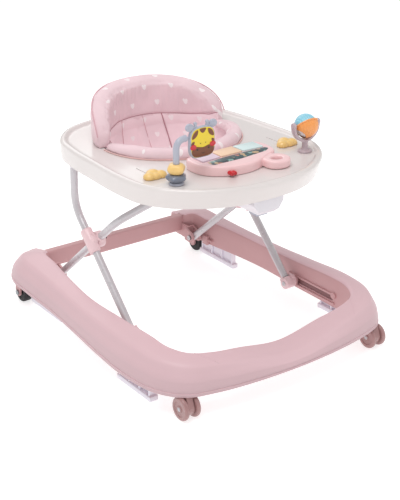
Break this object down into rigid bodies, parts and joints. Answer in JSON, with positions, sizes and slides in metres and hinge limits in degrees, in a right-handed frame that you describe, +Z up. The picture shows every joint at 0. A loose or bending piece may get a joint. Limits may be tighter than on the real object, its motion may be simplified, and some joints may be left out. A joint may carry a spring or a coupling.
{
  "type": "baby walker",
  "caption": "Folding baby walker: U-shaped rail base on twin-wheel castors, crossed tube legs, toy tray with sliding and spinning toys, and a padded sling seat.",
  "frame": {"origin": "on the floor, under the middle of the bounding box", "axes": "+Z up, the front of the walker faces -Y, the seat back is towards +Y, +X is the right-hand side seen from behind the front edge looking along +Y"},
  "size_m": [0.5934, 0.715, 0.5092],
  "materials": {
    "pink_shell": "smooth moulded, satin",
    "pink_gloss": "semi-gloss moulded",
    "tray_ivory": "glossy moulded",
    "tube_paint": "gloss paint on round steel tube",
    "steel": "plain",
    "wheel_black": "matt",
    "stopper_grey": "soft satin",
    "seat_fabric": "padded woven cover with a small heart pattern",
    "toy_lavender": "smooth",
    "toy_slate": "smooth",
    "toy_yellow": "smooth",
    "toy_mauve": "smooth",
    "toy_orange": "smooth, blue above and orange below",
    "key_lilac": "smooth",
    "key_peach": "smooth",
    "key_mint": "smooth",
    "button_red": "smooth"
  },
  "bodies": {
    "base": {"base_top_shell": "pink_shell", "base_bottom_pan": "pink_shell", "rear_crossbar": "pink_shell", "rear_pivot_bracket_left": "pink_shell", "rear_pivot_bracket_right": "pink_shell", "rear_pivot_pin_left": "steel", "rear_pivot_pin_right": "steel", "rear_axle_left": "steel", "rear_axle_right": "steel", "brake_pad_front_left": "stopper_grey", "brake_pad_front_right": "stopper_grey", "brake_pad_rear_left": "stopper_grey", "brake_pad_rear_right": "stopper_grey"},
    "castor_left": {"castor_fork_left": "pink_gloss", "castor_axle_left": "steel"},
    "castor_right": {"castor_fork_right": "pink_gloss", "castor_axle_right": "steel"},
    "castor_wheel_left_outer": {"castor_wheel_left_outer": "pink_gloss"},
    "castor_wheel_left_inner": {"castor_wheel_left_inner": "pink_gloss"},
    "castor_wheel_right_outer": {"castor_wheel_right_outer": "pink_gloss"},
    "castor_wheel_right_inner": {"castor_wheel_right_inner": "pink_gloss"},
    "rear_wheel_left": {"rear_wheel_left": "wheel_black"},
    "rear_wheel_right": {"rear_wheel_right": "wheel_black"},
    "rear_leg": {"rear_leg_tube_left": "tube_paint", "rear_leg_tube_right": "tube_paint", "rear_leg_cross_tube": "tube_paint", "cross_joint_inner_left": "pink_gloss", "cross_joint_inner_right": "pink_gloss", "cross_pin_left": "steel", "cross_pin_right": "steel"},
    "front_leg": {"front_leg_tube_left": "tube_paint", "front_leg_tube_right": "tube_paint", "cross_joint_outer_left": "pink_gloss", "cross_joint_outer_right": "pink_gloss", "foot_socket_left": "pink_gloss", "foot_socket_right": "pink_gloss"},
    "foot_slider_left": {"foot_slider_left": "pink_shell"},
    "foot_slider_right": {"foot_slider_right": "pink_shell"},
    "tray": {"tray": "tray_ivory", "tray_hinge_bracket_left": "tray_ivory", "tray_hinge_bracket_right": "tray_ivory", "adjuster_housing": "tray_ivory", "seat_bucket": "seat_fabric", "seat_ring": "seat_fabric", "seat_back": "seat_fabric", "giraffe_base_ring": "toy_lavender", "giraffe_stalk": "toy_lavender", "spinner_fork": "toy_mauve", "music_box": "pink_gloss"},
    "height_latch": {"height_latch": "toy_lavender"},
    "bead_grey": {"giraffe_bead_grey": "toy_slate"},
    "bead_yellow": {"giraffe_bead_yellow": "toy_yellow"},
    "giraffe_head": {"giraffe_head": "toy_yellow"},
    "spinner_ball": {"spinner_ball": "toy_orange"},
    "bead_slide_left": {"bead_slide_left": "toy_yellow"},
    "bead_slide_right": {"bead_slide_right": "toy_yellow"},
    "key_lilac": {"key_lilac": "key_lilac"},
    "key_peach": {"key_peach": "key_peach"},
    "key_mint": {"key_mint": "key_mint"},
    "music_button": {"music_button": "button_red"}
  },
  "joints": [
    {"name": "fold", "type": "hinge", "parent": "base", "child": "rear_leg", "pos_m": [0, 0.2495, 0.071], "axis": [1, 0, 0], "range_deg": [0, 28]},
    {"name": "leg_cross", "type": "hinge", "parent": "rear_leg", "child": "front_leg", "pos_m": [0, 0.0725, 0.22], "axis": [1, 0, 0], "range_deg": [-60, 0.5]},
    {"name": "tray_tilt", "type": "hinge", "parent": "front_leg", "child": "tray", "pos_m": [0, 0.1295, 0.368], "axis": [1, 0, 0], "range_deg": [-0.5, 41]},
    {"name": "foot_slide_left", "type": "hinge", "parent": "front_leg", "child": "foot_slider_left", "pos_m": [-0.205, -0.0795, 0.068], "axis": [1, 0, 0], "range_deg": [-0.5, 32]},
    {"name": "foot_slide_right", "type": "hinge", "parent": "front_leg", "child": "foot_slider_right", "pos_m": [0.205, -0.0795, 0.068], "axis": [1, 0, 0], "range_deg": [-0.5, 32]},
    {"name": "castor_swivel_left", "type": "hinge", "parent": "base", "child": "castor_left", "pos_m": [-0.24, -0.2915, 0.05], "axis": [0, 0, 1], "continuous": true},
    {"name": "castor_wheel_spin_left_outer", "type": "hinge", "parent": "castor_left", "child": "castor_wheel_left_outer", "pos_m": [-0.253, -0.3125, 0.024], "axis": [1, 0, 0], "continuous": true},
    {"name": "castor_wheel_spin_left_inner", "type": "hinge", "parent": "castor_left", "child": "castor_wheel_left_inner", "pos_m": [-0.227, -0.3125, 0.024], "axis": [1, 0, 0], "continuous": true},
    {"name": "rear_wheel_spin_left", "type": "hinge", "parent": "base", "child": "rear_wheel_left", "pos_m": [-0.244, 0.3145, 0.024], "axis": [1, 0, 0], "continuous": true},
    {"name": "bead_slide_left", "type": "slide", "parent": "tray", "child": "bead_slide_left", "axis": [0, 1, 0], "range_m": [0, 0.05]},
    {"name": "castor_swivel_right", "type": "hinge", "parent": "base", "child": "castor_right", "pos_m": [0.24, -0.2915, 0.05], "axis": [0, 0, 1], "continuous": true},
    {"name": "castor_wheel_spin_right_outer", "type": "hinge", "parent": "castor_right", "child": "castor_wheel_right_outer", "pos_m": [0.253, -0.3125, 0.024], "axis": [1, 0, 0], "continuous": true},
    {"name": "castor_wheel_spin_right_inner", "type": "hinge", "parent": "castor_right", "child": "castor_wheel_right_inner", "pos_m": [0.227, -0.3125, 0.024], "axis": [1, 0, 0], "continuous": true},
    {"name": "rear_wheel_spin_right", "type": "hinge", "parent": "base", "child": "rear_wheel_right", "pos_m": [0.244, 0.3145, 0.024], "axis": [1, 0, 0], "continuous": true},
    {"name": "bead_slide_right", "type": "slide", "parent": "tray", "child": "bead_slide_right", "axis": [0, 1, 0], "range_m": [0, 0.05]},
    {"name": "latch_slide", "type": "slide", "parent": "tray", "child": "height_latch", "axis": [0, 1, 0], "range_m": [0, 0.008], "stiffness_N_per_m": 200, "springref_m": -0.004},
    {"name": "bead_grey_spin", "type": "hinge", "parent": "tray", "child": "bead_grey", "pos_m": [-0.152, -0.1605, 0.417], "axis": [0, 0, 1], "continuous": true},
    {"name": "bead_yellow_spin", "type": "hinge", "parent": "tray", "child": "bead_yellow", "pos_m": [-0.152, -0.1605, 0.434], "axis": [0, 0, 1], "continuous": true},
    {"name": "giraffe_nod", "type": "hinge", "parent": "tray", "child": "giraffe_head", "pos_m": [-0.11, -0.1605, 0.489], "axis": [1, 0, 0], "range_deg": [-30, 30]},
    {"name": "ball_spin", "type": "hinge", "parent": "tray", "child": "spinner_ball", "pos_m": [0.168, -0.1595, 0.459], "axis": [1, 0, 0], "continuous": true},
    {"name": "button_press", "type": "slide", "parent": "tray", "child": "music_button", "axis": [0, 1, 0], "range_m": [0, 0.002], "stiffness_N_per_m": 250, "springref_m": -0.001},
    {"name": "key_lilac_press", "type": "slide", "parent": "tray", "child": "key_lilac", "axis": [0, 0, -1], "range_m": [0, 0.002], "stiffness_N_per_m": 300, "springref_m": -0.001},
    {"name": "key_peach_press", "type": "slide", "parent": "tray", "child": "key_peach", "axis": [0, 0, -1], "range_m": [0, 0.002], "stiffness_N_per_m": 300, "springref_m": -0.001},
    {"name": "key_mint_press", "type": "slide", "parent": "tray", "child": "key_mint", "axis": [0, 0, -1], "range_m": [0, 0.002], "stiffness_N_per_m": 300, "springref_m": -0.001}
  ],
  "couplings": [
    {"joint": "leg_cross", "follows": "fold", "ratio": -2.118},
    {"joint": "tray_tilt", "follows": "fold", "ratio": 1.443},
    {"joint": "foot_slide_left", "follows": "fold", "ratio": 1.118},
    {"joint": "foot_slide_right", "follows": "fold", "ratio": 1.118}
  ]
}
